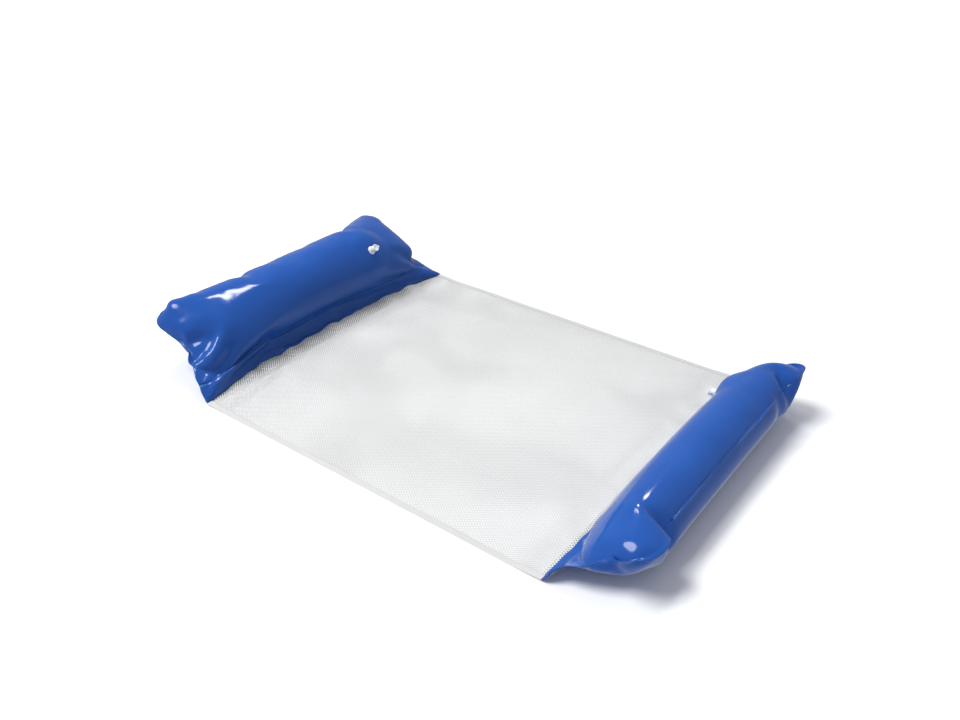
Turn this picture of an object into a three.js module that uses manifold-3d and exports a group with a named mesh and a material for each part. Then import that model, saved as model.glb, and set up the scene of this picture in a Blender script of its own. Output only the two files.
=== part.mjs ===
// Inflatable pool float: a head pillow and a foot tube of welded PVC film, joined by a mesh panel.
// Millimetres, +Z up. X runs along the two chambers, +Y points to the head end, and the float lies
// on z = 0. The origin is under the middle of the bounding box.

import * as THREE from 'three';
import { mergeVertices } from 'three/addons/utils/BufferGeometryUtils.js';
import Module from 'manifold-3d';

const wasm = await Module();
wasm.setup();

// Overall sizes
const FLOAT_WIDTH = 660;        // cut width of the film, the skirts and the mesh
const MESH_LENGTH = 705;        // mesh between the two skirts
const MESH_THICKNESS = 0.6;
const HEM_WIDTH = 11;
const HEM_THICKNESS = 1.2;      // two plies of mesh
const FILM = 0.3;               // PVC film
const CLEARANCE = 0.3;          // gap between pieces that touch
const SKIRT_GAP = 1.2;          // skirt's upper edge to the chamber's welded margin
const END_FLANGE = 12;          // flat welded margin at each end of a chamber
const SEAM_FLANGE = 6;          // flat welded margin along its two long seams
const CLOSING_RADII = 1.3;      // length over which a chamber closes to its end weld, in radii
const DRAW_IN_RADII = 0.5;      // how far the film draws in at each end, in radii
const KNEE_SHARE = 0.6;         // how much of the skirt's reach lies flat before it turns up

// How finely the film is divided, and the small step that gives a surface its slope
const CLOSING_STEPS = 8;
const MIDDLE_STEPS = 4;
const ACROSS_STEPS = 16;
const SKIRT_STEPS = 5;
const SLOPE_STEP = 0.01;

// The two chambers: radius when full, tilt of the plane of the weld, and the distance from the
// fold line at the mesh to the chamber's axis
const HEAD = { name: 'head', side: 1, radius: 70, tilt: 32, reach: 103, valveX: 157, valveAngle: 37 };
const FOOT = { name: 'foot', side: -1, radius: 52, tilt: 35, reach: 80, valveX: 180, valveAngle: 0 };

// Valve, measured along its own axis from the outside of the film
const STEM_RADIUS = 7;
const BORE_RADIUS = 4.8;
const STEM_TOP = 14;
const STEM_BOTTOM = -6;
const WEB_GAP = 0.5;            // the thin web that lets the stem be pushed in
const VALVE_FLANGE_RADIUS = 11;
const VALVE_FLANGE_TOP = -1.7;
const VALVE_FLANGE_THICKNESS = 1;
const CAP_RADIUS = 7.4;
const CAP_THICKNESS = 2;
const PLUG_RADIUS = 4.4;
const PLUG_TIP_RADIUS = 3.6;
const PLUG_LENGTH = 4.6;
const TETHER_WIDTH = 5;
const TETHER_OFFSET = 9;        // valve axis to the line the tether bends on
const TETHER_THICKNESS = 1.2;
const FLAP_RADIUS = 6.2;
const FLAP_THICKNESS = 0.7;
const LUG_DROP = 1.4;           // stem's top to the lug's top
const LUG_HEIGHT = 2.1;
const LUG_REACH = 0.4;          // lug's edge past the line the tether bends on
const TETHER_ROOT = 1.5;        // tether's end inside the cap's rim
const FILM_CUT_LENGTH = 12;     // length of the cut that clears the film round the stem
const SEGMENTS = 24;

const BLUE = { color: 0x1c4fa6, roughness: 0.2, metalness: 0 };
const MESH_WHITE = { color: 0xe6e6e4, roughness: 0.75, metalness: 0 };
const CLEAR_WHITE = { color: 0xe4e8ec, roughness: 0.3, metalness: 0 };

const float = new THREE.Group();

function addPiece(parent, name, geometry, look) {
  const piece = new THREE.Mesh(geometry, new THREE.MeshStandardMaterial(look));
  piece.name = name;
  parent.add(piece);
  return piece;
}

// Values from first to last in equal steps
function steps(first, last, count) {
  return Array.from({ length: count + 1 }, (_, i) => first + ((last - first) * i) / count);
}

// Closed thin sheet: surface(a, b) over the grid of the two lists of stations, thickened both ways
// along its normal and shifted by lift
function sheet(surface, stationsA, stationsB, thickness, lift) {
  const rows = stationsA.length;
  const columns = stationsB.length;
  const positions = [];
  const point = new THREE.Vector3();
  const alongA = new THREE.Vector3();
  const alongB = new THREE.Vector3();
  for (const offset of [lift + thickness / 2, lift - thickness / 2]) {
    for (const a of stationsA) {
      for (const b of stationsB) {
        point.copy(surface(a, b));
        alongA.copy(surface(a + SLOPE_STEP, b)).sub(surface(a - SLOPE_STEP, b));
        alongB.copy(surface(a, b + SLOPE_STEP)).sub(surface(a, b - SLOPE_STEP));
        point.addScaledVector(alongA.cross(alongB).normalize(), offset);
        positions.push(point.x, point.y, point.z);
      }
    }
  }
  const vertex = (face, i, j) => face * rows * columns + i * columns + j;
  const indices = [];
  const quad = (a, b, c, d) => indices.push(a, b, c, a, c, d);
  for (let i = 0; i < rows - 1; i += 1) {
    for (let j = 0; j < columns - 1; j += 1) {
      quad(vertex(0, i, j), vertex(0, i + 1, j), vertex(0, i + 1, j + 1), vertex(0, i, j + 1));
      quad(vertex(1, i, j), vertex(1, i, j + 1), vertex(1, i + 1, j + 1), vertex(1, i + 1, j));
    }
  }
  for (let i = 0; i < rows - 1; i += 1) {
    const last = columns - 1;
    quad(vertex(0, i, 0), vertex(1, i, 0), vertex(1, i + 1, 0), vertex(0, i + 1, 0));
    quad(vertex(0, i, last), vertex(0, i + 1, last), vertex(1, i + 1, last), vertex(1, i, last));
  }
  for (let j = 0; j < columns - 1; j += 1) {
    const last = rows - 1;
    quad(vertex(0, 0, j), vertex(0, 0, j + 1), vertex(1, 0, j + 1), vertex(1, 0, j));
    quad(vertex(0, last, j), vertex(1, last, j), vertex(1, last, j + 1), vertex(0, last, j + 1));
  }
  const geometry = new THREE.BufferGeometry();
  geometry.setAttribute('position', new THREE.Float32BufferAttribute(positions, 3));
  geometry.setIndex(indices);
  return geometry;
}

function toManifold(geometry) {
  const bare = geometry.clone();
  bare.deleteAttribute('normal');
  bare.deleteAttribute('uv');
  const merged = mergeVertices(bare, 1e-5);
  return new wasm.Manifold(new wasm.Mesh({
    numProp: 3,
    vertProperties: new Float32Array(merged.attributes.position.array),
    triVerts: new Uint32Array(merged.index.array),
  }));
}

function fromManifold(solid) {
  const mesh = solid.getMesh();
  const geometry = new THREE.BufferGeometry();
  geometry.setAttribute('position', new THREE.BufferAttribute(mesh.vertProperties, 3));
  geometry.setIndex(new THREE.BufferAttribute(mesh.triVerts, 1));
  return geometry;
}

// A block between two corners, in a valve's own frame
function block(low, high) {
  const size = high.map((value, i) => value - low[i]);
  const geometry = new THREE.BoxGeometry(...size);
  geometry.translate(...low.map((value, i) => value + size[i] / 2));
  return geometry;
}

// A turned piece about the valve's axis, from a list of [radius, height] corners
function turned(profile) {
  const points = profile.map(([radius, height]) => new THREE.Vector2(radius, height));
  const geometry = new THREE.LatheGeometry(points, SEGMENTS);
  return geometry.rotateX(Math.PI / 2);
}

// Where a point of the flat film lies on the full chamber. along is the place along the chamber,
// across the place across the film from its middle, and upper picks the panel. The section is a
// circle over most of the length and closes to the flat weld at each end, where it is wider.
function chamberPoint(chamber, along, across, upper) {
  const { side, radius } = chamber;
  const halfLength = FLOAT_WIDTH / 2 - END_FLANGE;
  const halfFlat = (Math.PI * radius) / 2;
  const closing = CLOSING_RADII * radius;
  const inside = THREE.MathUtils.clamp((halfLength - Math.abs(along)) / closing, 0, 1);
  const full = Math.sin((Math.PI / 2) * inside);
  const halfWidth = THREE.MathUtils.lerp(halfFlat, radius, full);
  const angle = THREE.MathUtils.clamp((Math.PI / 2) * (across / halfFlat), -Math.PI / 2, Math.PI / 2);
  const beyond = across - THREE.MathUtils.clamp(across, -halfFlat, halfFlat);
  const outward = halfWidth * Math.sin(angle) + beyond;
  const bulge = radius * full * Math.cos(angle) * (upper ? 1 : -1);
  const drawnIn = DRAW_IN_RADII * radius * Math.cos(angle) ** 2 * (1 - inside);
  const x = along - Math.sign(along) * drawnIn;
  const tilt = THREE.MathUtils.degToRad(chamber.tilt);
  const y = chamber.axisY + side * (outward * Math.cos(tilt) - bulge * Math.sin(tilt));
  const z = chamber.axisZ + outward * Math.sin(tilt) + bulge * Math.cos(tilt);
  return new THREE.Vector3(x, y, z);
}

// Stations along and across a chamber's film, closer together where it closes to the end welds
function filmStations(chamber) {
  const halfLength = FLOAT_WIDTH / 2 - END_FLANGE;
  const shoulder = halfLength - CLOSING_RADII * chamber.radius;
  const halfFlat = (Math.PI * chamber.radius) / 2;
  const closing = steps(shoulder, halfLength, CLOSING_STEPS);
  return {
    along: [
      -FLOAT_WIDTH / 2,
      ...closing.toReversed().map((x) => -x),
      ...steps(-shoulder, shoulder, MIDDLE_STEPS).slice(1, -1),
      ...closing,
      FLOAT_WIDTH / 2,
    ],
    across: [
      -halfFlat - SEAM_FLANGE,
      ...steps(-halfFlat, halfFlat, ACROSS_STEPS),
      halfFlat + SEAM_FLANGE,
    ],
  };
}

// The upper or lower film of a chamber, with its welded margin
function panel(chamber, upper) {
  const { along, across } = filmStations(chamber);
  const lift = (CLEARANCE + FILM) / 2;
  const surface = (x, y) => chamberPoint(chamber, x, y, upper);
  const faceOut = (chamber.side > 0) === upper;
  if (faceOut) {
    return sheet(surface, along, across, FILM, lift);
  }
  return sheet((y, x) => surface(x, y), across, along, FILM, lift);
}

// The skirt: a strip from the fold line on the floor up to the chamber's inner seam
function skirtPoint(chamber, along, share) {
  const halfFlat = (Math.PI * chamber.radius) / 2;
  const fold = new THREE.Vector3(along, chamber.side * chamber.foldDistance, FILM + CLEARANCE / 2);
  const seam = chamberPoint(chamber, along, -halfFlat - SEAM_FLANGE - SKIRT_GAP, true);
  const knee = new THREE.Vector3(along, THREE.MathUtils.lerp(fold.y, seam.y, KNEE_SHARE), fold.z);
  return new THREE.QuadraticBezierCurve3(fold, knee, seam).getPoint(share);
}

function skirtStrip(chamber, upper) {
  const { along } = filmStations(chamber);
  const lift = ((CLEARANCE + FILM) / 2) * (upper ? 1 : -1);
  const share = steps(0, 1, SKIRT_STEPS);
  if (chamber.side > 0) {
    return sheet((x, t) => skirtPoint(chamber, x, t), along, share, FILM, lift);
  }
  return sheet((t, x) => skirtPoint(chamber, x, t), share, along, FILM, lift);
}

// The frame of a chamber's valve: on the film's outside, +Z along the valve, +X along the chamber
function valveFrame(chamber) {
  const angle = THREE.MathUtils.degToRad(chamber.valveAngle);
  const axis = new THREE.Vector3(0, -chamber.side * Math.cos(angle), Math.sin(angle));
  const centre = new THREE.Vector3(chamber.valveX, chamber.axisY, chamber.axisZ);
  const across = new THREE.Vector3(1, 0, 0);
  const third = new THREE.Vector3().crossVectors(axis, across);
  const place = centre.addScaledVector(axis, chamber.radius + (CLEARANCE + 2 * FILM) / 2);
  return new THREE.Matrix4().makeBasis(across, third, axis).setPosition(place);
}

function valveFlange() {
  const inner = STEM_RADIUS + WEB_GAP;
  const bottom = VALVE_FLANGE_TOP - VALVE_FLANGE_THICKNESS;
  return turned([
    [inner, bottom],
    [VALVE_FLANGE_RADIUS, bottom],
    [VALVE_FLANGE_RADIUS, VALVE_FLANGE_TOP],
    [inner, VALVE_FLANGE_TOP],
    [inner, bottom],
  ]);
}

// The stem is a short tube with a lug under the tether
function valveStem() {
  const tube = turned([
    [BORE_RADIUS, STEM_BOTTOM],
    [STEM_RADIUS, STEM_BOTTOM],
    [STEM_RADIUS, STEM_TOP],
    [BORE_RADIUS, STEM_TOP],
    [BORE_RADIUS, STEM_BOTTOM],
  ]);
  const lugTop = STEM_TOP - LUG_DROP;
  const lug = block(
    [-TETHER_OFFSET - LUG_REACH, -TETHER_WIDTH / 2, lugTop - LUG_HEIGHT],
    [-(STEM_RADIUS + BORE_RADIUS) / 2, TETHER_WIDTH / 2, lugTop],
  );
  return fromManifold(toManifold(tube).add(toManifold(lug)));
}

// The cap is a disc with a tapered plug and the tether's first stretch
function valveCap() {
  const bottom = STEM_TOP + CLEARANCE;
  const plug = turned([
    [0, bottom - PLUG_LENGTH],
    [PLUG_TIP_RADIUS, bottom - PLUG_LENGTH],
    [PLUG_RADIUS, bottom],
    [CAP_RADIUS, bottom],
    [CAP_RADIUS, bottom + CAP_THICKNESS],
    [0, bottom + CAP_THICKNESS],
  ]);
  const tether = block(
    [-TETHER_OFFSET, -TETHER_WIDTH / 2, bottom],
    [-CAP_RADIUS + TETHER_ROOT, TETHER_WIDTH / 2, bottom + TETHER_THICKNESS],
  );
  return fromManifold(toManifold(plug).add(toManifold(tether)));
}

// The check flap closes the inner end of the bore
function valveFlap() {
  const top = STEM_BOTTOM - CLEARANCE;
  return turned([
    [0, top - FLAP_THICKNESS],
    [FLAP_RADIUS, top - FLAP_THICKNESS],
    [FLAP_RADIUS, top],
    [0, top],
  ]);
}

function buildChamber(chamber) {
  const group = new THREE.Group();
  const { name } = chamber;
  const frame = valveFrame(chamber);
  const cutRadius = STEM_RADIUS + WEB_GAP;
  const drill = new THREE.CylinderGeometry(cutRadius, cutRadius, FILM_CUT_LENGTH, SEGMENTS);
  drill.rotateX(Math.PI / 2);
  drill.applyMatrix4(frame);
  const upperPanel = fromManifold(toManifold(panel(chamber, true)).subtract(toManifold(drill)));
  addPiece(group, `${name}_upper_panel`, upperPanel, BLUE);
  addPiece(group, `${name}_lower_panel`, panel(chamber, false), BLUE);
  addPiece(group, `${name}_skirt_top_strip`, skirtStrip(chamber, true), BLUE);
  addPiece(group, `${name}_skirt_bottom_strip`, skirtStrip(chamber, false), BLUE);

  const valve = new THREE.Group();
  valve.applyMatrix4(frame);
  addPiece(valve, `${name}_valve_flange`, valveFlange(), CLEAR_WHITE);
  addPiece(valve, `${name}_valve_stem`, valveStem(), CLEAR_WHITE);
  addPiece(valve, `${name}_valve_cap`, valveCap(), CLEAR_WHITE);
  addPiece(valve, `${name}_valve_flap`, valveFlap(), CLEAR_WHITE);
  group.add(valve);
  return group;
}

// Half of the mesh with a turned hem along each side edge; direction is 1 to the head, -1 to the foot
function buildMeshHalf(name, direction) {
  const group = new THREE.Group();
  const length = MESH_LENGTH / 2 - 2 * CLEARANCE;
  const middle = direction * (MESH_LENGTH / 4);
  const clothWidth = FLOAT_WIDTH - 2 * (HEM_WIDTH + CLEARANCE);
  const cloth = new THREE.BoxGeometry(clothWidth, length, MESH_THICKNESS);
  cloth.translate(0, middle, MESH_THICKNESS / 2);
  addPiece(group, `mesh_${name}_half`, cloth, MESH_WHITE);
  for (const [edge, sign] of [['left', -1], ['right', 1]]) {
    const hem = new THREE.BoxGeometry(HEM_WIDTH, length, HEM_THICKNESS);
    hem.translate(sign * (FLOAT_WIDTH - HEM_WIDTH) / 2, middle, HEM_THICKNESS / 2);
    addPiece(group, `${name}_hem_${edge}`, hem, MESH_WHITE);
  }
  return group;
}

for (const chamber of [HEAD, FOOT]) {
  chamber.foldDistance = MESH_LENGTH / 2;
  chamber.axisY = chamber.side * (chamber.foldDistance + chamber.reach);
  chamber.axisZ = chamber.radius + CLEARANCE / 2 + FILM;
  float.add(buildChamber(chamber));
}
float.add(buildMeshHalf('head', 1));
float.add(buildMeshHalf('foot', -1));

// Centre the float over the origin
const bounds = new THREE.Box3().setFromObject(float, true);
const centre = bounds.getCenter(new THREE.Vector3());
float.position.set(-centre.x, -centre.y, -bounds.min.z);
float.updateMatrixWorld(true);

export default float;
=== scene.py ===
import math

import bpy
import numpy as np
from mathutils import Matrix, Vector, noise


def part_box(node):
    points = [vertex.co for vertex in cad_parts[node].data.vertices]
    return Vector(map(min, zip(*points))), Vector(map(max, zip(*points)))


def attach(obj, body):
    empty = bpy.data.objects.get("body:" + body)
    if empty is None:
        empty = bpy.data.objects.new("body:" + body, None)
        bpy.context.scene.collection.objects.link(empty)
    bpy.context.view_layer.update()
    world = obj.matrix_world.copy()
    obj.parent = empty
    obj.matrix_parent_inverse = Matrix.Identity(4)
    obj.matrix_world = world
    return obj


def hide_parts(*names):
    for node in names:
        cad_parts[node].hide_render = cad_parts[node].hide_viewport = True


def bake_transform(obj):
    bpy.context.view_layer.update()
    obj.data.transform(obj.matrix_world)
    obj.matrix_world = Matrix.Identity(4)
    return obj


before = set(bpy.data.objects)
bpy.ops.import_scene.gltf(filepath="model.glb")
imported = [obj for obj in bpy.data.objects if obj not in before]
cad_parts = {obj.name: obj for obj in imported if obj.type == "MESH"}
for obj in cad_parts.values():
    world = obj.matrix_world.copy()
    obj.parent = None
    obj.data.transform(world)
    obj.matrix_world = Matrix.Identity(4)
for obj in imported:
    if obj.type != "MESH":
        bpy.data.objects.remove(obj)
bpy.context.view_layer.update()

# The float: two inflated chambers of welded film, each with a skirt that grips the mesh between them.
# Metres, +Z up. X runs along the chambers and +Y points to the head end.

# Camera, at the height, heading and tilt that show the float from its near left corner
CAMERA_PLACE = (-1.103, -0.842, 0.905)
CAMERA_HEADING = math.radians(36.44)     # from +X towards +Y
CAMERA_PITCH = math.radians(-31.42)
CAMERA_ROLL = math.radians(0.56)
CAMERA_LENS = 33.75
SENSOR_WIDTH = 36

# Film
CELL = 0.008             # spacing of the simulated film's points
FILM = 0.0004
END_MARGIN = 0.012       # welded margin at the two ends of a chamber
SEAM_MARGIN = 0.004      # welded margin along its two seams
MARGIN_STEPS = 2         # rows of points across the welded margin
TAB_START = 0.45         # where a tab by the mesh begins and is square, as shares of the weld's corner
TAB_END = 0.80
STRAIGHT_SHARE = 0.75    # how much of a chamber's length is used to find its own axis
STRAIGHT_STATIONS = 9
RELAX_STEPS = (0.50, -0.53)
START_GAP = 0.0015       # half the gap between the two films before the air goes in
UNEVENNESS = 0.0004
EDGE_HEIGHT = 0.0022     # of a skirt's free edge over the floor, before it flutters
SETTLE_BELOW = 0.004     # film lower than this is pressed flat on the floor
SAME_PLACE = 0.01 * CELL

# How the film is drawn to a valve, by the distance from the valve's axis
DRAWN_RADIUS = 0.06      # nothing moves outside this
DRAWN_DEPTH = 0.04       # or this far under the valve's mouth
HELD_RADIUS = 0.016      # and the film follows fully inside this
PUCKER_HEIGHT = 0.0006
PUCKER_WIDTH = 0.003
SLOPE_DROP = 0.0012      # how far the film falls away past the flange
SLOPE_WIDTH = 0.02

# Inflation
FRAMES = 50
PULL_FRAMES = 8          # frames in which the skirt's edge is drawn in
TIME_SCALE = 2.0
FILM_MASS = 0.05
AIR_DAMPING = 5
STRAIN_DAMPING = 20
SHEAR_SHARE = 0.6        # of the stiffness against stretch
CLOTH_QUALITY = 6

# Mesh cloth and its hems
PLY_GAP = 0.00035        # from the skirt's middle surface to each of its plies
MESH_THICKNESS = 0.0006
MESH_CELL = 0.008
MESH_REST = 0.0006       # the cloth's middle surface over the floor
MESH_LIFT = 0.0016       # how far its low waves rise
MESH_RISE = 0.060        # length over which it climbs to the skirt's edge
GRIPPED_ROWS = 5         # rows of the skirt's points that the cloth reaches in between its plies
SPLIT_SHARE = 0.27       # how much of the mesh's length each of its end pieces takes
HEM_WIDTH = 0.011
HEM_THICKNESS = 0.0014
HEM_ROUND = 0.0006
HEM_UNEVENNESS = 0.0008
STITCH_PITCH = 0.0045
STITCH_LENGTH = 0.0032
STITCH_WIDTH = 0.0007
STITCH_INSET = 0.0085    # from the hem's outer edge to the stitching

# Surface patterns
HOLE_PITCH = (0.0050, 0.0064)    # of the mesh's knit, across and along
HOLE_EDGE = (0.05, 0.22)
SHADE = (-0.006, 0.002)  # where the cloth's holes turn dark, past a fold line
SHADE_COLOUR = (0.055, 0.045, 0.035)
SKIRT_RIB_PITCH = 0.008  # of the weld's embossed lines
END_RIB_PITCH = 0.004

# Tones, each from a darker to a lighter colour
FILM_TONES = ((0.010, 0.062, 0.29), (0.018, 0.092, 0.38))
VALVE_TONES = ((0.72, 0.77, 0.82), (0.86, 0.88, 0.90))
YARN_TONES = ((0.57, 0.57, 0.56), (0.73, 0.73, 0.72))
HEM_TONES = ((0.44, 0.44, 0.43), (0.60, 0.60, 0.59))

# Studio
FLOOR_SIZE = 8           # from the middle to each side
FLOOR_COLOUR = (0.93, 0.93, 0.935)
SKY_COLOUR = (0.94, 0.96, 1)
SKY_STRENGTH = 0.46
SUN_PLACE = (-1.0, 1.2, 2.4)
SUN_POWER = 2.8
SUN_ANGLE = math.radians(28)

# Valves, as the CAD model has them, measured along a valve's axis from the outside of the film
FLANGE_DEPTH = 0.0022    # down to the middle of the flange
FLANGE_RADIUS = 0.011
STEM_HOLE = 0.0076
STEM_RADIUS = 0.007
BORE_RADIUS = 0.0048
STEM_TOP = 0.014
STEM_BOTTOM = -0.006
CAP_BOTTOM = 0.0143
CAP_TOP = 0.0163
CAP_RADIUS = 0.0074
PLUG_LENGTH = 0.0046
TETHER_REACH = 0.009
TETHER_WIDTH = 0.005
TURNS = 48               # points round a turned piece

SHARP = math.radians(40)
UPPER, LOWER, MARGIN, SKIRT = range(4)

# The two chambers. Tilt is from the floor to the plane of the weld, and corner is the weld's radius. The bow,
# wave and flutter shape the skirt's free edge. Relax is the rounds of evening out once the air is in.
HEAD = {
    "name": "head", "side": 1, "tilt": math.radians(32), "valve_angle": math.radians(37), "seed": 3,
    "corner": 0.055, "skirt_cut": 0.032, "bow": 0.028, "wave": 0.0035, "flutter": 0.008,
    "pressure": 20, "stiffness": 80, "compression": 80, "bending": 0.02, "weld_bending": 0.02, "relax": 4,
}
FOOT = {
    "name": "foot", "side": -1, "tilt": math.radians(35), "valve_angle": 0.0, "seed": 11,
    "corner": 0.066, "skirt_cut": 0.032, "bow": 0.004, "wave": 0.0030, "flutter": 0.005,
    "pressure": 35, "stiffness": 120, "compression": 5, "bending": 1.0, "weld_bending": 5.0, "relax": 14,
}


def read_chamber(chamber):
    """Adds the sizes and places that the CAD frame holds."""
    name = chamber["name"]
    boxes = [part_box(f"{name}_{ply}_panel") for ply in ("upper", "lower")]
    low = np.min([np.array(box[0]) for box in boxes], axis=0)
    high = np.max([np.array(box[1]) for box in boxes], axis=0)
    mesh_low, mesh_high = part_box(f"mesh_{name}_half")
    chamber["half_width"] = high[0]
    chamber["axis"] = (low + high) / 2
    chamber["radius"] = (high[2] - low[2]) / 2 - FILM
    chamber["half_weld"] = (high[0] - END_MARGIN, math.pi * chamber["radius"] / 2)
    chamber["fold_y"] = mesh_high.y if chamber["side"] > 0 else mesh_low.y
    flange_low, flange_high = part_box(f"{name}_valve_flange")
    angle = chamber["valve_angle"]
    axis = np.array([0, -chamber["side"] * math.cos(angle), math.sin(angle)])
    chamber["valve_axis"] = axis
    chamber["valve_place"] = (np.array(flange_low) + np.array(flange_high)) / 2 + FLANGE_DEPTH * axis


def to_world(chamber, local):
    """Points in the plane of a chamber's weld (along, across, outwards) to the frame."""
    cos, sin = math.cos(chamber["tilt"]), math.sin(chamber["tilt"])
    along, across, outwards = local.T
    y = chamber["axis"][1] + chamber["side"] * (across * cos - outwards * sin)
    z = chamber["axis"][2] + across * sin + outwards * cos
    return np.stack([along, y, z], axis=1)


def to_local(chamber, world):
    """The reverse of to_world."""
    cos, sin = math.cos(chamber["tilt"]), math.sin(chamber["tilt"])
    along, y, z = world.T
    y = chamber["side"] * (y - chamber["axis"][1])
    z = z - chamber["axis"][2]
    return np.stack([along, y * cos + z * sin, z * cos - y * sin], axis=1)


def ripple(along, phase):
    """An uneven wave between about -1 and 1 along an edge."""
    return (
        0.5 * np.sin(38 * along + phase)
        + 0.3 * np.sin(71 * along + 2.1 * phase)
        + 0.2 * np.sin(127 * along + 0.7 * phase)
    )


def skirt_edge(chamber, along):
    """Where the skirt's free edge lies on the mesh."""
    share = np.abs(along / chamber["half_width"])
    bow = chamber["bow"] * (1 - share ** 3)
    wave = chamber["wave"] * ripple(along, chamber["seed"]) * (1 - share ** 6)
    y = chamber["fold_y"] + chamber["side"] * (bow + wave)
    z = EDGE_HEIGHT + chamber["flutter"] * np.abs(ripple(along, chamber["seed"] + 2)) * (1 - share ** 6)
    return np.stack([along, y, z], axis=1)


def round_corner(chamber, x, y):
    """The outward direction at a grid point's corner of the weld, and the point moved onto its round."""
    corner = chamber["corner"]
    half_x, half_y = chamber["half_weld"]
    u = max(abs(x) - (half_x - corner), 0.0)
    v = max(abs(y) - (half_y - corner), 0.0)
    u_round = u * math.sqrt(1 - v * v / (2 * corner ** 2))
    v_round = v * math.sqrt(1 - u * u / (2 * corner ** 2))
    if u > 0 and v > 0:
        x = math.copysign(half_x - corner + u_round, x)
        y = math.copysign(half_y - corner + v_round, y)
    return (x, y), (math.copysign(u_round, x), math.copysign(v_round, y))


def ease(value):
    """A smooth step from 0 to 1."""
    value = np.clip(value, 0, 1)
    return value * value * (3 - 2 * value)


def cut_point(chamber, x, y):
    """Where the film is cut off outside a point of the weld: beside it, and square at the mesh's tabs."""
    corner = chamber["corner"]
    half_x, half_y = chamber["half_weld"]
    (weld_x, weld_y), outward = round_corner(chamber, x, y)
    length = math.hypot(*outward)
    out_x, out_y = outward[0] / length, outward[1] / length
    margin = SEAM_MARGIN + (END_MARGIN - SEAM_MARGIN) * abs(out_x)
    beside = np.array([weld_x + margin * out_x, weld_y + margin * out_y])
    if y > 0:
        return beside

    def spread(value, half, edge):
        past = max(abs(value) - (half - corner), 0) / corner
        return math.copysign(min(abs(value), half - corner) + past * (corner + edge), value)

    square = np.array([spread(x, half_x, END_MARGIN), spread(y, half_y, SEAM_MARGIN)])
    if abs(y) > half_y - SAME_PLACE:
        return square
    past = (abs(y) - (half_y - corner)) / corner
    return beside + (square - beside) * ease((past - TAB_START) / (TAB_END - TAB_START))


class Cut:
    """The film as cut and welded, lying flat: its points, its faces and the kind of each face."""

    def __init__(self, chamber):
        self.chamber = chamber
        self.uneven = np.random.default_rng(chamber["seed"])
        self.points, self.faces, self.kinds = [], [], []

    def add_point(self, x, y, z):
        self.points.append((x, y, z + self.uneven.normal(0, UNEVENNESS)))
        return len(self.points) - 1

    def add_face(self, corners, kind):
        self.faces.append(corners)
        self.kinds.append(kind)


def lay_plies(cut, xs, ys):
    """The two plies inside the weld, which share its points. Returns each ply's points by grid place."""
    columns, rows = len(xs) - 1, len(ys) - 1
    upper, lower = {}, {}
    for i, x in enumerate(xs):
        for j, y in enumerate(ys):
            place, _ = round_corner(cut.chamber, x, y)
            if i in (0, columns) or j in (0, rows):
                upper[i, j] = lower[i, j] = cut.add_point(*place, 0)
            else:
                upper[i, j] = cut.add_point(*place, START_GAP)
                lower[i, j] = cut.add_point(*place, -START_GAP)
    for i in range(columns):
        for j in range(rows):
            corners = [(i, j), (i + 1, j), (i + 1, j + 1), (i, j + 1)]
            cut.add_face([upper[c] for c in corners], UPPER)
            cut.add_face([lower[c] for c in reversed(corners)], LOWER)
    return upper, lower


def lay_margin(cut, welded, xs, ys):
    """The welded margin round the plies. Returns its outermost points by grid place."""
    columns, rows = len(xs) - 1, len(ys) - 1
    loop = [(i, 0) for i in range(columns)] + [(columns, j) for j in range(rows)]
    loop += [(i, rows) for i in range(columns, 0, -1)] + [(0, j) for j in range(rows, 0, -1)]
    inner = welded
    for step in range(1, MARGIN_STEPS + 1):
        outer = {}
        for i, j in loop:
            weld = np.array(cut.points[welded[i, j]][:2])
            edge = cut_point(cut.chamber, xs[i], ys[j])
            outer[i, j] = cut.add_point(*(weld + (edge - weld) * step / MARGIN_STEPS), 0)
        for here, after in zip(loop, loop[1:] + loop[:1]):
            cut.add_face([inner[here], outer[here], outer[after], inner[after]], MARGIN)
        inner = outer
    return inner


def lay_skirt(cut, row):
    """The skirt, row by row from the margin's lower edge. Returns its free edge."""
    length = cut.chamber["skirt_cut"]
    top = -cut.chamber["half_weld"][1] - SEAM_MARGIN
    steps = round(length / CELL)
    for step in range(1, steps + 1):
        below = [cut.add_point(cut.points[k][0], top - length * step / steps, 0) for k in row]
        for i in range(len(row) - 1):
            cut.add_face([row[i], below[i], below[i + 1], row[i + 1]], SKIRT)
        row = below
    return row


def flat_pattern(chamber):
    """A chamber's cut film, with the points that hold air, those of the weld and those of the free edge."""
    half_x, half_y = chamber["half_weld"]
    xs = np.linspace(-half_x, half_x, round(2 * half_x / CELL) + 1)
    ys = np.linspace(-half_y, half_y, round(2 * half_y / CELL) + 1)
    cut = Cut(chamber)
    upper, lower = lay_plies(cut, xs, ys)
    outermost = lay_margin(cut, upper, xs, ys)
    edge = lay_skirt(cut, [outermost[i, 0] for i in range(len(xs))])
    air = sorted({*upper.values(), *lower.values()})
    weld = sorted({k for face, kind in zip(cut.faces, cut.kinds) if kind == MARGIN for k in face})
    return np.array(cut.points), cut.faces, cut.kinds, air, weld, edge


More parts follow.
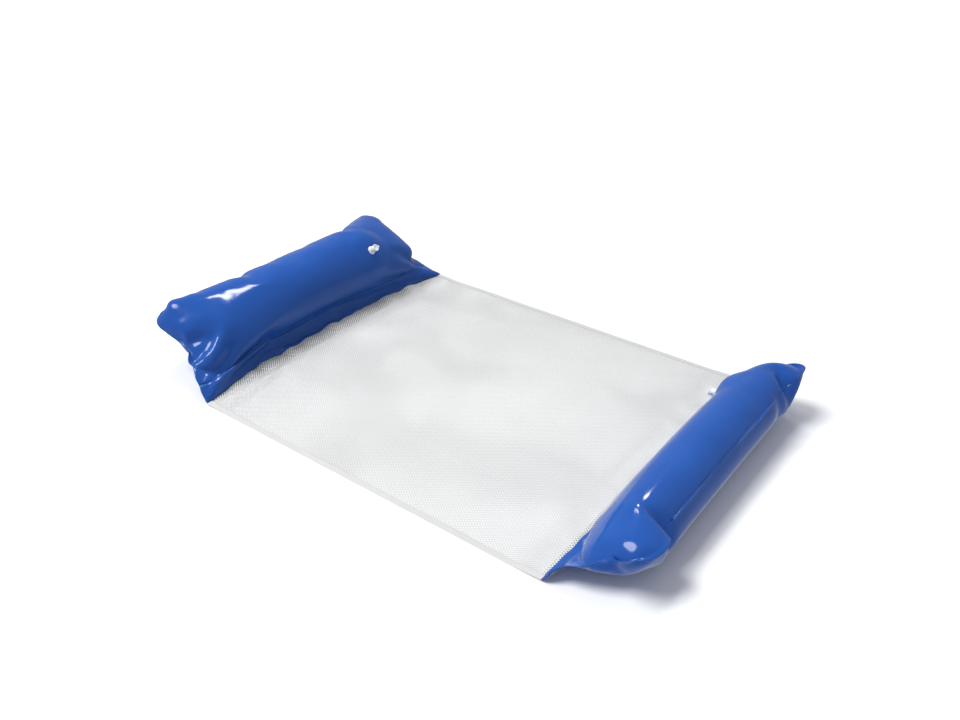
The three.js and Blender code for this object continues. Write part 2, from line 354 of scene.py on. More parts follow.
def inflate(chamber, points, faces, air, weld, edge):
    """Blows a chamber up by cloth simulation while its skirt's edge is drawn in to the mesh."""
    scene = bpy.context.scene
    scene.frame_start, scene.frame_end = 1, FRAMES
    mesh = bpy.data.meshes.new("film")
    mesh.from_pydata(points.tolist(), [], faces)
    film = bpy.data.objects.new("film", mesh)
    scene.collection.objects.link(film)
    film.vertex_groups.new(name="air").add(air, 1.0, "REPLACE")
    film.vertex_groups.new(name="edge").add(edge, 1.0, "REPLACE")
    film.vertex_groups.new(name="weld").add(weld, 1.0, "REPLACE")
    film.shape_key_add(name="flat")
    drawn = film.shape_key_add(name="drawn_in")
    for k, place in zip(edge, to_local(chamber, skirt_edge(chamber, points[edge][:, 0]))):
        drawn.data[k].co = place
    for number, value in ((1, 0.0), (PULL_FRAMES, 1.0)):
        drawn.value = value
        drawn.keyframe_insert("value", frame=number)
    cloth = film.modifiers.new("Cloth", "CLOTH")
    cloth.collision_settings.use_collision = False
    cloth.point_cache.frame_start, cloth.point_cache.frame_end = 1, FRAMES
    settings = cloth.settings
    settings.quality = CLOTH_QUALITY
    settings.mass = FILM_MASS
    settings.air_damping = AIR_DAMPING
    settings.time_scale = TIME_SCALE
    settings.tension_stiffness = chamber["stiffness"]
    settings.compression_stiffness = chamber["compression"]
    settings.shear_stiffness = SHEAR_SHARE * chamber["stiffness"]
    settings.bending_stiffness = chamber["bending"]
    settings.vertex_group_bending = "weld"
    settings.bending_stiffness_max = chamber["weld_bending"]
    settings.tension_damping = STRAIN_DAMPING
    settings.compression_damping = STRAIN_DAMPING
    settings.shear_damping = STRAIN_DAMPING
    settings.vertex_group_mass = "edge"
    settings.use_pressure = True
    settings.uniform_pressure_force = chamber["pressure"]
    settings.vertex_group_pressure = "air"
    settings.effector_weights.gravity = 0
    for number in range(1, FRAMES + 1):
        scene.frame_set(number)
    result = film.evaluated_get(bpy.context.evaluated_depsgraph_get())
    full = np.empty(3 * len(points))
    result.data.vertices.foreach_get("co", full)
    bpy.data.objects.remove(film)
    scene.frame_set(1)
    return full.reshape(-1, 3)


def centred(chamber, flat, full, air):
    """Brings the full chamber onto its axis. The skirt takes up the shift between seam and free edge."""
    along = flat[:, 0]
    reach = chamber["half_width"] * STRAIGHT_SHARE
    stations = np.linspace(-reach, reach, STRAIGHT_STATIONS)
    inside = np.array(air)
    free_edge = flat[:, 1].min()
    share = np.clip((flat[:, 1] - free_edge) / chamber["skirt_cut"], 0, 1)
    result = full.copy()
    for axis in (1, 2):
        middles = []
        for station in stations:
            near = full[inside[np.abs(along[inside] - station) < CELL], axis]
            middles.append((near.min() + near.max()) / 2)
        drift = np.polyfit(stations, middles, 2)
        result[:, axis] -= share * np.polyval(drift, along)
    return result


def relaxed(points, faces, members, rounds):
    """Evens out the film's small dents. The second, negative step undoes the shrinking of the first."""
    edges = {tuple(sorted(pair)) for face in faces for pair in zip(face, face[1:] + face[:1])}
    first, second = np.array(sorted(edges)).T
    neighbours = np.bincount(np.concatenate([first, second]), minlength=len(points))[:, None]
    result = points.copy()
    for step in rounds * RELAX_STEPS:
        total = np.zeros_like(result)
        np.add.at(total, first, result[second])
        np.add.at(total, second, result[first])
        result[members] += step * (total / neighbours - result)[members]
    return result


def subdivided(points, faces, kinds, flat):
    """One smooth subdivision, which keeps each face's kind and the place of each point on the cut."""
    mesh = bpy.data.meshes.new("rough")
    mesh.from_pydata(points.tolist(), [], faces)
    for _ in range(SKIRT + 1):
        mesh.materials.append(None)
    mesh.polygons.foreach_set("material_index", kinds)
    cut = mesh.uv_layers.new(name="cut")
    corners = np.empty(len(mesh.loops), int)
    mesh.loops.foreach_get("vertex_index", corners)
    cut.data.foreach_set("uv", flat[corners][:, :2].ravel())
    rough = bpy.data.objects.new("rough", mesh)
    bpy.context.scene.collection.objects.link(rough)
    smooth = rough.modifiers.new("smooth", "SUBSURF")
    smooth.levels = smooth.render_levels = 1
    result = rough.evaluated_get(bpy.context.evaluated_depsgraph_get())
    fine = bpy.data.meshes.new_from_object(result)
    bpy.data.objects.remove(rough)
    return fine


def mesh_arrays(mesh):
    """Points, faces, kinds of faces, and each face's places on the cut."""
    points = np.empty(3 * len(mesh.vertices))
    mesh.vertices.foreach_get("co", points)
    cut = mesh.uv_layers["cut"].data
    faces = [list(face.vertices) for face in mesh.polygons]
    kinds = [face.material_index for face in mesh.polygons]
    places = [[tuple(cut[k].uv) for k in face.loop_indices] for face in mesh.polygons]
    return points.reshape(-1, 3), faces, kinds, places


def skirt_rows(points, faces, kinds, places, count):
    """The skirt's points row by row from its free edge, each row of count points from left to right."""
    cuts = {}
    for face, kind, place in zip(faces, kinds, places):
        if kind == SKIRT:
            cuts.update(zip(face, place))
    order = sorted(cuts, key=lambda k: cuts[k][1])
    rows = [order[n:n + count] for n in range(0, len(order), count)]
    return [points[sorted(row, key=lambda k: cuts[k][0])] for row in rows]


def settle(points):
    """Presses what would sink into the floor flat on it."""
    low = points[:, 2] < SETTLE_BELOW
    points[low, 2] = SETTLE_BELOW * np.exp((points[low, 2] - SETTLE_BELOW) / SETTLE_BELOW)
    return points


def seat_valve(chamber, points, members):
    """Draws the film to the valve's flange, with a low ring where the flange lies under it."""
    place, axis = chamber["valve_place"], chamber["valve_axis"]
    offset = points[members] - place
    height = offset @ axis
    radius = np.linalg.norm(offset - height[:, None] * axis, axis=1)
    near = (radius < DRAWN_RADIUS) & (height > -DRAWN_DEPTH)
    hold = ease((DRAWN_RADIUS - radius) / (DRAWN_RADIUS - HELD_RADIUS))
    pucker = PUCKER_HEIGHT * np.exp(-((radius - FLANGE_RADIUS) / PUCKER_WIDTH) ** 2)
    slope = SLOPE_DROP * np.clip((radius - FLANGE_RADIUS) / SLOPE_WIDTH, 0, 1)
    target = -FILM + pucker - slope
    shift = np.where(near, hold * (target - height), 0)
    points[members] += shift[:, None] * axis


def make_object(name, points, faces, places=None):
    """A mesh object of the points that the faces use, with its places on the cut as a UV map."""
    used = sorted({k for face in faces for k in face})
    index = {k: n for n, k in enumerate(used)}
    mesh = bpy.data.meshes.new(name)
    mesh.from_pydata(points[used].tolist(), [], [[index[k] for k in face] for face in faces])
    if places is not None:
        cut = mesh.uv_layers.new(name="cut")
        cut.data.foreach_set("uv", [value for face in places for place in face for value in place])
    mesh.polygons.foreach_set("use_smooth", [True] * len(mesh.polygons))
    made = bpy.data.objects.new(name, mesh)
    bpy.context.scene.collection.objects.link(made)
    return made


def thicken(piece, thickness, offset=1.0, rim=True):
    """Thickens an open surface. Without a rim the two sides stay apart, so joined pieces show no line."""
    solid = piece.modifiers.new("thickness", "SOLIDIFY")
    solid.thickness = thickness
    solid.offset = offset
    solid.use_rim = rim
    solid.use_even_offset = False
    apply_modifiers(piece)


def apply_modifiers(piece):
    """Bakes a piece's modifiers into its mesh."""
    result = piece.evaluated_get(bpy.context.evaluated_depsgraph_get())
    mesh = bpy.data.meshes.new_from_object(result)
    piece.modifiers.clear()
    piece.data = mesh


def finish_piece(piece, slot, material, *nodes):
    """Gives a piece its material and hides the CAD nodes that it stands for. The slot is not used."""
    piece.data.materials.clear()
    piece.data.materials.append(material)
    if nodes:
        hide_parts(*nodes)


def cut_stem_hole(chamber, points, faces, places):
    """Opens the film where the stem stands, and draws the opening's rim to a circle."""
    place, axis = chamber["valve_place"], chamber["valve_axis"]
    offset = points - place
    height = offset @ axis
    across = offset - height[:, None] * axis
    radius = np.linalg.norm(across, axis=1)
    in_hole = (np.abs(height) < STEM_HOLE) & (radius < STEM_HOLE)
    kept = [n for n, face in enumerate(faces) if not in_hole[face].any()]
    removed = {k for face in faces if in_hole[face].any() for k in face}
    rim = sorted(removed & {k for n in kept for k in faces[n]})
    points[rim] = place - FILM * axis + across[rim] * (STEM_HOLE / radius[rim])[:, None]
    return [faces[n] for n in kept], [places[n] for n in kept]


def move_along_normals(piece, distance):
    """Shifts an open surface off itself, so that two plies lie on the two sides of what they grip."""
    for vertex in piece.data.vertices:
        vertex.co = vertex.co + vertex.normal * distance


def build_chamber(chamber, film_look, skirt_look):
    """The films and the skirt of one chamber, inflated, with its free skirt rows kept for the mesh."""
    name = chamber["name"]
    body = f"{name}_pillow"
    flat, faces, kinds, air, weld, edge = flat_pattern(chamber)
    full = inflate(chamber, flat, faces, air, weld, edge)
    full = relaxed(full, faces, sorted({*air, *weld}), chamber["relax"])
    full = centred(chamber, flat, full, air)
    points, faces, kinds, places = mesh_arrays(subdivided(full, faces, kinds, flat))
    points = settle(to_world(chamber, points))
    chamber["skirt_rows"] = skirt_rows(points, faces, kinds, places, 2 * len(edge) - 1)
    upper_points = sorted({k for face, kind in zip(faces, kinds) if kind == UPPER for k in face})
    seat_valve(chamber, points, upper_points)

    def film_piece(label, wanted, flipped=(), hole=False):
        """One ply: the faces of the wanted kinds, with their outsides facing out."""
        chosen, chosen_places = [], []
        for face, kind, place in zip(faces, kinds, places):
            if kind not in wanted:
                continue
            if (kind in flipped) != (chamber["side"] < 0):
                face, place = face[::-1], place[::-1]
            chosen.append(face)
            chosen_places.append(place)
        if hole:
            chosen, chosen_places = cut_stem_hole(chamber, points, chosen, chosen_places)
        return make_object(f"{name}_{label}", points, chosen, chosen_places)

    plies = (MARGIN, SKIRT)
    upper = film_piece("upper_film", (UPPER, MARGIN), hole=True)
    lower = film_piece("lower_film", (LOWER, MARGIN), flipped=plies)
    top = film_piece("skirt_top", (SKIRT,))
    bottom = film_piece("skirt_bottom", (SKIRT,), flipped=plies)
    for piece in (top, bottom):
        move_along_normals(piece, PLY_GAP)
    for piece, node, material in (
        (upper, "upper_panel", film_look),
        (lower, "lower_panel", film_look),
        (top, "skirt_top_strip", skirt_look),
        (bottom, "skirt_bottom_strip", skirt_look),
    ):
        thicken(piece, FILM)
        finish_piece(piece, "pvc_film", material, f"{name}_{node}")
        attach(piece, body)


def mesh_height(x, y):
    """The cloth's low waves over the floor."""
    broad = noise.noise(Vector((7 * x, 5 * y, 0.3)))
    fine = noise.noise(Vector((23 * x, 17 * y, 4.1)))
    return MESH_REST + MESH_LIFT * max(0.0, broad + 0.4 * fine)


def grid_object(name, lines):
    """A surface through equally long lines of points, with the points' own x and y as its UV map."""
    count = len(lines[0])
    points = np.array([point for line in lines for point in line])
    faces = []
    for i in range(len(lines) - 1):
        for j in range(count - 1):
            a = i * count + j
            faces.append([a, a + count, a + count + 1, a + 1])
    places = [[tuple(points[k][:2]) for k in face] for face in faces]
    return make_object(name, points, faces, places)


def middle_lines(xs, stops):
    """Lines of the cloth from its foot split to its head split."""
    return [[(x, y, mesh_height(x, y)) for y in stops] for x in xs]


def end_lines(chamber, xs, split):
    """Lines of the cloth from a split to the skirt, and on in between the skirt's two plies."""
    rows = chamber["skirt_rows"][:GRIPPED_ROWS]
    steps = round(abs(chamber["fold_y"] - split) / MESH_CELL)
    lines = []
    for column, start in enumerate(xs):
        edge = rows[0][column]
        line = []
        for share in np.linspace(0, 1, steps, endpoint=False):
            x = start + (edge[0] - start) * share
            y = split + (edge[1] - split) * share
            climb = ease(1 - abs(edge[1] - y) / MESH_RISE)
            line.append((x, y, mesh_height(x, y) * (1 - climb) + edge[2] * climb))
        lines.append(line + [tuple(row[column]) for row in rows])
    return lines


def hem_piece(name, spine, side):
    """A turned hem over the edge line of a cloth piece, with its row of stitches."""
    section = [(0, 0.3), (HEM_ROUND, 0), (HEM_WIDTH, 0), (HEM_WIDTH, 1), (HEM_ROUND, 1), (0, 0.7)]
    size = len(section)
    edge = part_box("mesh_head_half")[1].x + HEM_WIDTH
    points, faces, tops = [], [], []
    for _, y, z in spine:
        outer = edge - HEM_UNEVENNESS * (0.5 + 0.5 * noise.noise(Vector((side, 30 * y, 0))))
        bottom = max(z - HEM_THICKNESS / 2, 0)
        points += [(side * (outer - inwards), y, bottom + up * HEM_THICKNESS) for inwards, up in section]
        tops.append((y, bottom + HEM_THICKNESS))
    for row in range(len(spine) - 1):
        for k in range(size):
            a, b = row * size + k, row * size + (k + 1) % size
            faces.append([a, b, b + size, a + size])
    last = (len(spine) - 1) * size
    faces += [list(range(size))[::-1], [last + k for k in range(size)]]
    if side * (spine[-1][1] - spine[0][1]) > 0:
        faces = [face[::-1] for face in faces]
    add_stitches(points, faces, sorted(tops), side * (edge - STITCH_INSET))
    places = [[points[k][:2] for k in face] for face in faces]
    hem = make_object(name, np.array(points), faces, places)
    hem.data.set_sharp_from_angle(angle=SHARP)
    return hem


def add_stitches(points, faces, tops, x):
    """Stitches along the hem, each a small closed spindle half sunk in the cloth."""
    ys, heights = np.array(tops).T
    for y in np.arange(ys[0] + STITCH_PITCH / 2, ys[-1] - STITCH_PITCH / 2, STITCH_PITCH):
        z = float(np.interp(y, ys, heights))
        base = len(points)
        points += [(x, y - STITCH_LENGTH / 2, z), (x, y + STITCH_LENGTH / 2, z)]
        points += [(x + STITCH_WIDTH / 2, y, z), (x, y, z + STITCH_WIDTH / 2)]
        points += [(x - STITCH_WIDTH / 2, y, z), (x, y, z - STITCH_WIDTH / 2)]
        for k in range(4):
            here, after = base + 2 + k, base + 2 + (k + 1) % 4
            faces.append([base, after, here])
            faces.append([base + 1, here, after])


def cloth_piece(name, lines, hemmed, halves, materials):
    """One piece of the cloth with its two hems, hemmed as far as the skirt."""
    cloth = grid_object(name, lines)
    thicken(cloth, MESH_THICKNESS, offset=0, rim=False)
    finish_piece(cloth, "mesh_cloth", materials[0], *[f"mesh_{half}_half" for half in halves])
    hems = []
    for side, label in ((-1, "left"), (1, "right")):
        spine = lines[0 if side < 0 else -1][:hemmed]
        hem = hem_piece(f"{name}_hem_{label}", spine, side)
        finish_piece(hem, "mesh_cloth", materials[1], *[f"{half}_hem_{label}" for half in halves])
        hems.append(hem)
    for piece in (cloth, *hems):
        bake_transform(piece)
    return cloth, hems


def build_mesh_cloth(materials):
    """The mesh cloth and its hems, in three pieces that meet edge to edge."""
    cloth_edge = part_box("mesh_head_half")[1].x
    xs = np.linspace(-cloth_edge, cloth_edge, len(HEAD["skirt_rows"][0]))
    reach = SPLIT_SHARE * (HEAD["fold_y"] - FOOT["fold_y"])
    splits = {chamber["name"]: chamber["fold_y"] - chamber["side"] * reach for chamber in (FOOT, HEAD)}
    for chamber in (HEAD, FOOT):
        name, side, fold = chamber["name"], chamber["side"], chamber["fold_y"]
        cloth, hems = cloth_piece(
            f"mesh_{name}_end",
            end_lines(chamber, xs, splits[name]),
            -GRIPPED_ROWS + 1,
            (name,),
            materials,
        )
    steps = round((splits["head"] - splits["foot"]) / MESH_CELL)
    cloth, hems = cloth_piece(
        "mesh_middle",
        middle_lines(xs, np.linspace(splits["foot"], splits["head"], steps + 1)),
        None,
        ("head", "foot"),
        materials,
    )


def turned(profile):
    """Points and faces of a closed profile of (radius, height) turned about the vertical."""
    points, faces = [], []
    size = len(profile)
    for turn in range(TURNS):
        angle = 2 * math.pi * turn / TURNS
        points += [(r * math.cos(angle), r * math.sin(angle), h) for r, h in profile]
    for turn in range(TURNS):
        here, after = turn * size, (turn + 1) % TURNS * size
        for k in range(size):
            n = (k + 1) % size
            faces.append([here + k, after + k, after + n, here + n])
    return points, faces


def rounded_bar(low, high, bevel):
    """Points and faces of a bar along X with its long edges cut off by bevel."""
    (x0, y0, z0), (x1, y1, z1) = low, high
    ring = [(y0 + bevel, z0), (y1 - bevel, z0), (y1, z0 + bevel), (y1, z1 - bevel)]
    ring += [(y1 - bevel, z1), (y0 + bevel, z1), (y0, z1 - bevel), (y0, z0 + bevel)]
    points = [(x, y, z) for x in (x0, x1) for y, z in ring]
    size = len(ring)
    faces = [[k, size + k, size + (k + 1) % size, (k + 1) % size][::-1] for k in range(size)]
    faces += [list(range(size))[::-1], [size + k for k in range(size)]]
    return points, faces


def joined(*parts):
    """Several lists of points and faces as one."""
    points, faces = [], []
    for part_points, part_faces in parts:
        base = len(points)
        points += part_points
        faces += [[k + base for k in face] for face in part_faces]
    return points, faces


def place_on_valve(chamber, points):
    """Points in a valve's own frame to the frame."""
    axis = chamber["valve_axis"]
    across = np.array([1.0, 0.0, 0.0])
    third = np.cross(axis, across)
    points = np.array(points)
    return chamber["valve_place"] + points @ np.stack([across, third, axis])


def arc(centre_radius, centre_height, size, first, last, count=5):
    """Profile points round a corner, in degrees from outwards."""
    angles = np.radians(np.linspace(first, last, count))
    return [(centre_radius + size * math.cos(a), centre_height + size * math.sin(a)) for a in angles]


def stem_shape():
    """The tube, waisted where it is pinched, with a rolled lip and the lug that holds the tether."""
    lip = (STEM_RADIUS - BORE_RADIUS) / 2
    middle = (STEM_RADIUS + BORE_RADIUS) / 2
    waist = STEM_RADIUS - 0.0004
    profile = [(STEM_RADIUS - 0.0003, STEM_BOTTOM), (STEM_RADIUS, STEM_BOTTOM + 0.001)]
    profile += [(STEM_RADIUS, 0.0), (waist, 0.0022), (waist, 0.0105), (STEM_RADIUS, 0.0118)]
    profile += arc(middle, STEM_TOP - lip, lip, 0, 180)
    profile += [(BORE_RADIUS, STEM_BOTTOM)]
    lug_top = STEM_TOP - 0.0014
    lug = rounded_bar((-TETHER_REACH - 0.0004, -TETHER_WIDTH / 2, lug_top - 0.0021),
                      (-middle, TETHER_WIDTH / 2, lug_top), 0.0005)
    return joined(turned(profile), lug)


def cap_shape():
    """The cap with its plug below, the tether to the stem's lug and the tab that it is pulled by."""
    bevel = 0.0006
    plug_radius = 0.0044
    plug_end = CAP_BOTTOM - PLUG_LENGTH
    dish = CAP_TOP - 0.0005
    profile = [(0.0001, plug_end), (0.0030, plug_end), (0.0036, plug_end + bevel)]
    profile += [(plug_radius, CAP_BOTTOM - 0.0012), (plug_radius, CAP_BOTTOM)]
    profile += [(CAP_RADIUS - bevel, CAP_BOTTOM)]
    profile += arc(CAP_RADIUS - bevel, CAP_BOTTOM + bevel, bevel, -90, 0)
    profile += arc(CAP_RADIUS - bevel, CAP_TOP - bevel, bevel, 0, 90)
    profile += [(0.0052, CAP_TOP), (0.0046, dish), (0.0001, dish)]
    tether = rounded_bar((-TETHER_REACH, -TETHER_WIDTH / 2, CAP_BOTTOM),
                         (-CAP_RADIUS + 0.0015, TETHER_WIDTH / 2, CAP_BOTTOM + 0.0012), 0.0004)
    pull = rounded_bar((CAP_RADIUS - 0.001, -0.0022, CAP_BOTTOM + 0.0003),
                       (CAP_RADIUS + 0.0022, 0.0022, CAP_BOTTOM + 0.0013), 0.0004)
    return joined(turned(profile), tether, pull)


def web_shape():
    """The thin ring between the film and the stem, low enough for the lug of a pushed-in stem."""
    inner, outer = STEM_RADIUS + 0.0002, FLANGE_RADIUS - 0.0012
    profile = [(outer, -0.0003), (outer - 0.0012, 0.0001), (inner + 0.0009, 0.0002), (inner, 0.0003)]
    profile += [(inner, -0.0004)]
    return turned(profile)


def build_valve(chamber, material):
    """The stem, the cap and the web in place of the CAD solids. The flange and flap are the CAD's own."""
    name = chamber["name"]
    for label, shape, body, node in (
        ("valve_stem_moulding", stem_shape(), f"{name}_valve_stem", f"{name}_valve_stem"),
        ("valve_cap_moulding", cap_shape(), f"{name}_valve_cap", f"{name}_valve_cap"),
        ("valve_web", web_shape(), f"{name}_pillow", None),
    ):
        points, faces = shape
        piece = make_object(f"{name}_{label}", place_on_valve(chamber, points), faces)
        piece.data.set_sharp_from_angle(angle=SHARP)
        finish_piece(piece, "valve_vinyl", material, *([node] if node else []))
        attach(piece, body)
    for label in ("valve_flange", "valve_flap"):
        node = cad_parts[f"{name}_{label}"]
        node.data.materials.clear()
        node.data.materials.append(material)


def look_at(thing, target):
    """Turns a light towards a point."""
    thing.rotation_euler = (Vector(target) - thing.location).to_track_quat("-Z", "Y").to_euler()


def build_camera():
    """The camera, placed and aimed by the values at the top."""
    camera = bpy.data.objects.new("camera", bpy.data.cameras.new("camera"))
    bpy.context.scene.collection.objects.link(camera)
    bpy.context.scene.camera = camera
    camera.data.sensor_width = SENSOR_WIDTH
    camera.data.lens = CAMERA_LENS
    camera.location = CAMERA_PLACE
    forward = Vector((
        math.cos(CAMERA_HEADING) * math.cos(CAMERA_PITCH),
        math.sin(CAMERA_HEADING) * math.cos(CAMERA_PITCH),
        math.sin(CAMERA_PITCH),
    ))
    turn = forward.to_track_quat("-Z", "Y").to_matrix()
    roll = Vector((math.cos(CAMERA_ROLL), math.sin(CAMERA_ROLL), 0))
    right = turn @ roll
    up = right.cross(forward)
    camera.matrix_world = matrix_of(right, up, -forward, CAMERA_PLACE)


def matrix_of(x_axis, y_axis, z_axis, place):
    """A 4 by 4 matrix from three axes and a place."""
    columns = [Vector(axis).to_4d() for axis in (x_axis, y_axis, z_axis)]
    for column in columns:
        column.w = 0
    return Matrix([*columns, Vector((*place, 1))]).transposed()


def add_light(name, place, target, size, power, spread):
    """A rectangular softbox aimed at a point, its spread in degrees."""
    data = bpy.data.lights.new(name, "AREA")
    data.shape = "RECTANGLE"
    data.size, data.size_y = size
    data.energy = power
    data.spread = math.radians(spread)
    light = bpy.data.objects.new(name, data)
    bpy.context.scene.collection.objects.link(light)
    light.location = place
    look_at(light, target)


def build_stage():
    """A plain pale floor under soft even light, and two softboxes that the film mirrors."""
    corners = [(-1, -1, 0), (1, -1, 0), (1, 1, 0), (-1, 1, 0)]
    floor = make_object("floor", FLOOR_SIZE * np.array(corners, float), [[0, 1, 2, 3]])
    paint, shader, _, _ = new_material("floor_paint")
    shader.inputs["Base Color"].default_value = (*FLOOR_COLOUR, 1)
    shader.inputs["Roughness"].default_value = 0.9
    floor.data.materials.append(paint)
    floor.visible_glossy = False    # the film mirrors the dim room instead of the lit floor
    scene = bpy.context.scene
    scene.world = bpy.data.worlds.new("studio")
    scene.world.use_nodes = True
    sky = scene.world.node_tree.nodes["Background"]
    sky.inputs["Color"].default_value = (*SKY_COLOUR, 1)
    sky.inputs["Strength"].default_value = SKY_STRENGTH
    scene.view_settings.view_transform = "Standard"
    sun = bpy.data.objects.new("sun", bpy.data.lights.new("sun", "SUN"))
    sun.data.energy = SUN_POWER
    sun.data.angle = SUN_ANGLE
    scene.collection.objects.link(sun)
    sun.location = SUN_PLACE
    look_at(sun, (0, 0, 0))
    add_light("head_softbox", place=(0.55, 0.74, 2.00), target=(-0.24, 0.43, 0.13), size=(0.80, 0.26),
              power=3.2, spread=70)
    add_light("foot_softbox", place=(1.20, 0.25, 1.55), target=(-0.26, -0.46, 0.09), size=(0.34, 0.22),
              power=0.45, spread=36)


def new_material(name):
    """A material with its shader, nodes and links."""
    material = bpy.data.materials.new(name)
    material.use_nodes = True
    tree = material.node_tree
    return material, tree.nodes["Principled BSDF"], tree.nodes, tree.links


def add_noise(nodes, links, place, scale, detail):
    """A soft cloud from 0 to 1 over a piece's own coordinates."""
    cloud = nodes.new("ShaderNodeTexNoise")
    cloud.inputs["Scale"].default_value = scale
    cloud.inputs["Detail"].default_value = detail
    links.new(place, cloud.inputs["Vector"])
    return cloud.outputs["Fac"]


def add_range(nodes, links, value, low, high):
    """Maps a value from 0..1 to low..high."""
    spread = nodes.new("ShaderNodeMapRange")
    spread.inputs["To Min"].default_value = low
    spread.inputs["To Max"].default_value = high
    links.new(value, spread.inputs["Value"])
    return spread.outputs["Result"]


def add_tone(nodes, links, value, dark, light):
    """Mixes two colours by a value."""
    tone = nodes.new("ShaderNodeMix")
    tone.data_type = "RGBA"
    tone.inputs["A"].default_value = (*dark, 1)
    tone.inputs["B"].default_value = (*light, 1)
    links.new(value, tone.inputs["Factor"])
    return tone.outputs["Result"]


def add_math(nodes, links, operation, first, second):
    """A math node. Each input is a socket or a number."""
    step = nodes.new("ShaderNodeMath")
    step.operation = operation
    for socket, value in zip(step.inputs, (first, second)):
        if isinstance(value, (int, float)):
            socket.default_value = value
        else:
            links.new(value, socket)
    return step.outputs["Value"]


def add_bump(nodes, links, height, strength, distance, shader):
    """Lets a height pattern tilt the shader's normals."""
    bump = nodes.new("ShaderNodeBump")
    bump.inputs["Strength"].default_value = strength
    bump.inputs["Distance"].default_value = distance
    links.new(height, bump.inputs["Height"])
    links.new(bump.outputs["Normal"], shader.inputs["Normal"])


def add_ribs(nodes, links, value, pitch):
    """Parallel embossed lines across a coordinate, from 0 to 1."""
    turn = add_math(nodes, links, "MULTIPLY", value, 2 * math.pi / pitch)
    wave = add_math(nodes, links, "COSINE", turn, 0.0)
    return add_math(nodes, links, "MAXIMUM", wave, 0.0)


def build_film_material(name, skirt):
    """Glossy blue PVC film, with faint clouding and embossed weld lines on the skirt or at its ends."""
    material, shader, nodes, links = new_material(name)
    place = nodes.new("ShaderNodeTexCoord").outputs["Object"]
    cloud = add_noise(nodes, links, place, scale=9, detail=3)
    links.new(add_tone(nodes, links, cloud, *FILM_TONES), shader.inputs["Base Color"])
    smear = add_noise(nodes, links, place, scale=34, detail=4)
    links.new(add_range(nodes, links, smear, 0.05, 0.17), shader.inputs["Roughness"])
    cut = nodes.new("ShaderNodeUVMap")
    cut.uv_map = "cut"
    split = nodes.new("ShaderNodeSeparateXYZ")
    links.new(cut.outputs["UV"], split.inputs["Vector"])
    if skirt:
        ribs = add_ribs(nodes, links, split.outputs["Y"], SKIRT_RIB_PITCH)
    else:
        reach = add_math(nodes, links, "ABSOLUTE", split.outputs["X"], 0.0)
        at_end = add_math(nodes, links, "GREATER_THAN", reach, HEAD["half_weld"][0])
        ribs = add_math(nodes, links, "MULTIPLY", at_end, add_ribs(nodes, links, reach, END_RIB_PITCH))
    grain = add_noise(nodes, links, place, scale=60, detail=3)
    height = add_math(nodes, links, "ADD", add_math(nodes, links, "MULTIPLY", grain, 0.2), ribs)
    add_bump(nodes, links, height, 0.5, 0.0006, shader)
    shader.inputs["Specular IOR Level"].default_value = 0.28
    return material


def build_valve_material():
    """Soft translucent white vinyl."""
    material, shader, nodes, links = new_material("valve_vinyl")
    place = nodes.new("ShaderNodeTexCoord").outputs["Object"]
    cloud = add_noise(nodes, links, place, scale=160, detail=2)
    links.new(add_tone(nodes, links, cloud, *VALVE_TONES), shader.inputs["Base Color"])
    links.new(add_range(nodes, links, cloud, 0.22, 0.38), shader.inputs["Roughness"])
    grain = add_noise(nodes, links, place, scale=900, detail=2)
    add_bump(nodes, links, grain, 0.1, 0.0003, shader)
    shader.inputs["Subsurface Weight"].default_value = 0.3
    shader.inputs["Subsurface Radius"].default_value = (0.004, 0.004, 0.004)
    return material


def add_step(nodes, links, value, start, end):
    """A smooth step from 0 at start to 1 at end."""
    step = nodes.new("ShaderNodeMapRange")
    step.interpolation_type = "SMOOTHSTEP"
    step.inputs["From Min"].default_value = start
    step.inputs["From Max"].default_value = end
    links.new(value, step.inputs["Value"])
    return step.outputs["Result"]


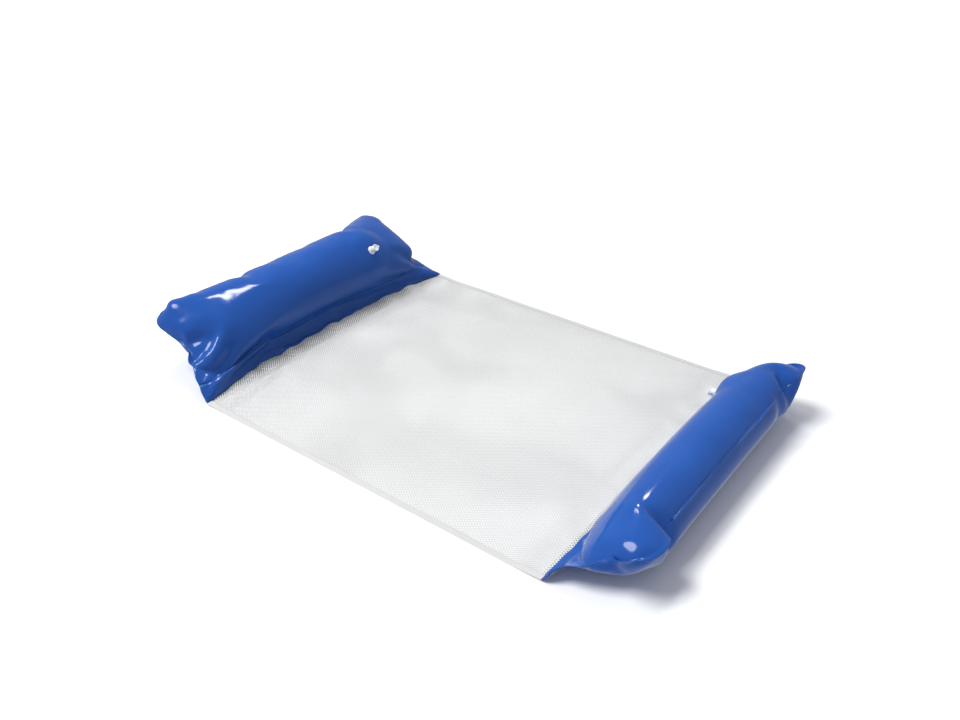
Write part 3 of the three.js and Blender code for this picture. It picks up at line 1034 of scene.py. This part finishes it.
def build_mesh_material():
    """White knit with staggered holes: open in the middle, and backed by shade where it nears a skirt."""
    material, shader, nodes, links = new_material("mesh_knit")
    cut = nodes.new("ShaderNodeUVMap")
    cut.uv_map = "cut"
    split = nodes.new("ShaderNodeSeparateXYZ")
    links.new(cut.outputs["UV"], split.inputs["Vector"])
    waves = []
    for socket, pitch in zip(("X", "Y"), HOLE_PITCH):
        turn = add_math(nodes, links, "MULTIPLY", split.outputs[socket], 2 * math.pi / pitch)
        waves.append(add_math(nodes, links, "COSINE", turn, 0.0))
    pattern = add_math(nodes, links, "MULTIPLY", *waves)
    hole = add_step(nodes, links, pattern, *HOLE_EDGE)
    head_shade = add_step(nodes, links, split.outputs["Y"], *[HEAD["fold_y"] + d for d in SHADE])
    foot_shade = add_step(nodes, links, split.outputs["Y"], *[FOOT["fold_y"] - d for d in SHADE])
    shade = add_math(nodes, links, "MAXIMUM", head_shade, foot_shade)
    open_hole = add_math(nodes, links, "MULTIPLY", hole, add_math(nodes, links, "SUBTRACT", 1.0, shade))
    links.new(add_math(nodes, links, "SUBTRACT", 1.0, open_hole), shader.inputs["Alpha"])
    place = nodes.new("ShaderNodeTexCoord").outputs["Object"]
    cloud = add_noise(nodes, links, place, scale=5, detail=4)
    yarn = add_tone(nodes, links, cloud, *YARN_TONES)
    dark = nodes.new("ShaderNodeMix")
    dark.data_type = "RGBA"
    dark.inputs["B"].default_value = (*SHADE_COLOUR, 1)
    links.new(yarn, dark.inputs["A"])
    links.new(add_math(nodes, links, "MULTIPLY", hole, shade), dark.inputs["Factor"])
    links.new(dark.outputs["Result"], shader.inputs["Base Color"])
    shader.inputs["Roughness"].default_value = 0.7
    shader.inputs["Sheen Weight"].default_value = 0.15
    add_bump(nodes, links, pattern, 0.4, 0.0004, shader)
    return material


def build_hem_material():
    """The same yarn turned and sewn down, so without holes, in a slightly darker tone."""
    material, shader, nodes, links = new_material("hem_yarn")
    place = nodes.new("ShaderNodeTexCoord").outputs["Object"]
    weave = nodes.new("ShaderNodeTexWave")
    weave.inputs["Scale"].default_value = 140
    weave.inputs["Distortion"].default_value = 1.5
    links.new(place, weave.inputs["Vector"])
    links.new(add_tone(nodes, links, weave.outputs["Fac"], *HEM_TONES), shader.inputs["Base Color"])
    shader.inputs["Roughness"].default_value = 0.75
    add_bump(nodes, links, weave.outputs["Fac"], 0.4, 0.0004, shader)
    return material


for chamber in (HEAD, FOOT):
    read_chamber(chamber)
build_camera()
build_stage()
film_look = build_film_material("pvc_film", skirt=False)
skirt_look = build_film_material("pvc_skirt", skirt=True)
valve_look = build_valve_material()
for chamber in (HEAD, FOOT):
    build_chamber(chamber, film_look, skirt_look)
    build_valve(chamber, valve_look)
build_mesh_cloth((build_mesh_material(), build_hem_material()))
